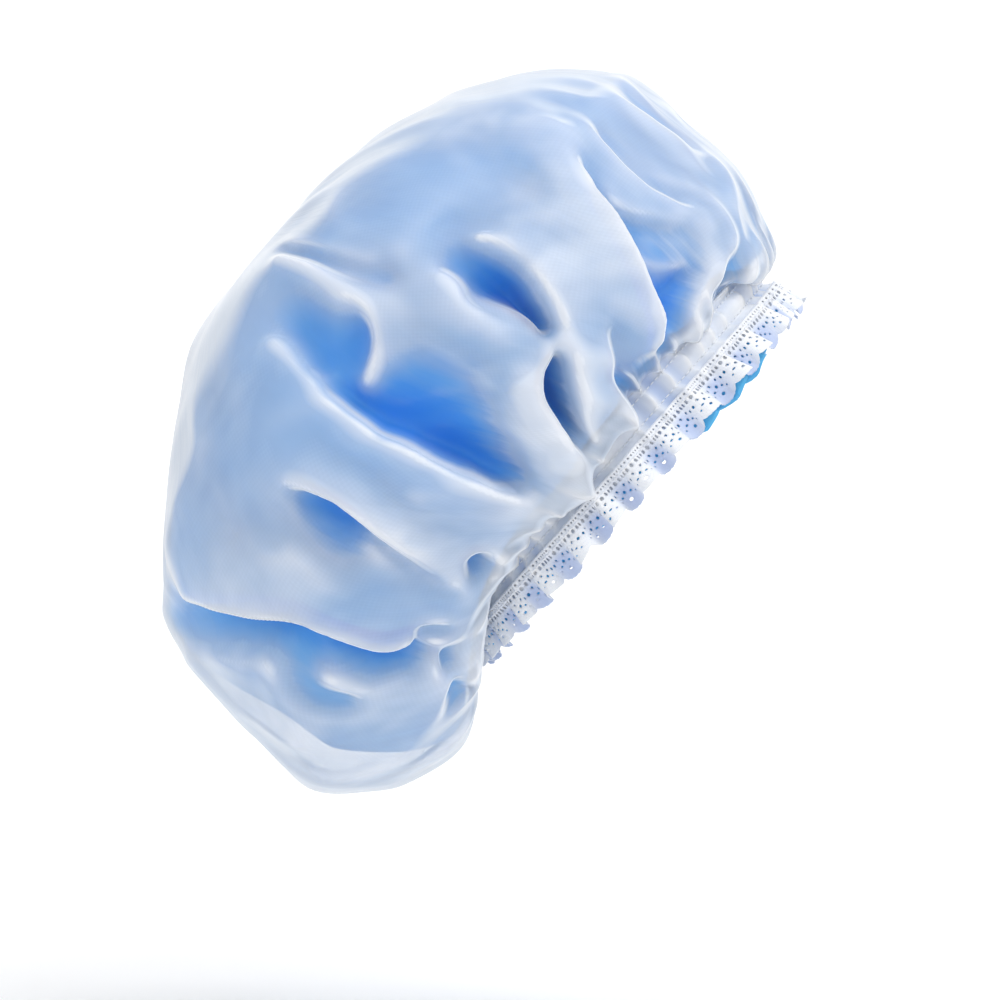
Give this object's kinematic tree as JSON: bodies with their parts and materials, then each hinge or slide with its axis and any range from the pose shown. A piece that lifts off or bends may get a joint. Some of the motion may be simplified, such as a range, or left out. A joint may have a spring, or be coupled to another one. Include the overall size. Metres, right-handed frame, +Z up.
{
  "type": "shower cap",
  "caption": "Double-layer shower cap as worn: a sheer gathered cover over a waterproof liner, an elastic hem and a ruffled lace edge.",
  "frame": {"origin": "centre of the opening, at the lower edge of the elastic's channel", "axes": "+Z up as the cap sits on an upright head, +X toward the wearer's forehead, +Y toward the wearer's left; the opening faces forward and down"},
  "size_m": [0.2765, 0.2642, 0.3098],
  "materials": {
    "cover_cloth": "sheer, crisp, slight sheen",
    "liner_film": "satin film",
    "elastic": "woven, ribbed",
    "lace": "matte lace",
    "thread": "matte thread"
  },
  "bodies": {
    "root": {"outer_cover": "cover_cloth", "inner_liner": "liner_film", "elastic_band": "elastic", "lace_trim": "lace", "upper_channel_stitching": "thread", "lower_channel_stitching": "thread", "lace_stitching": "thread", "elastic_join_bartack": "thread", "lace_join_stitching": "thread"}
  },
  "joints": []
}
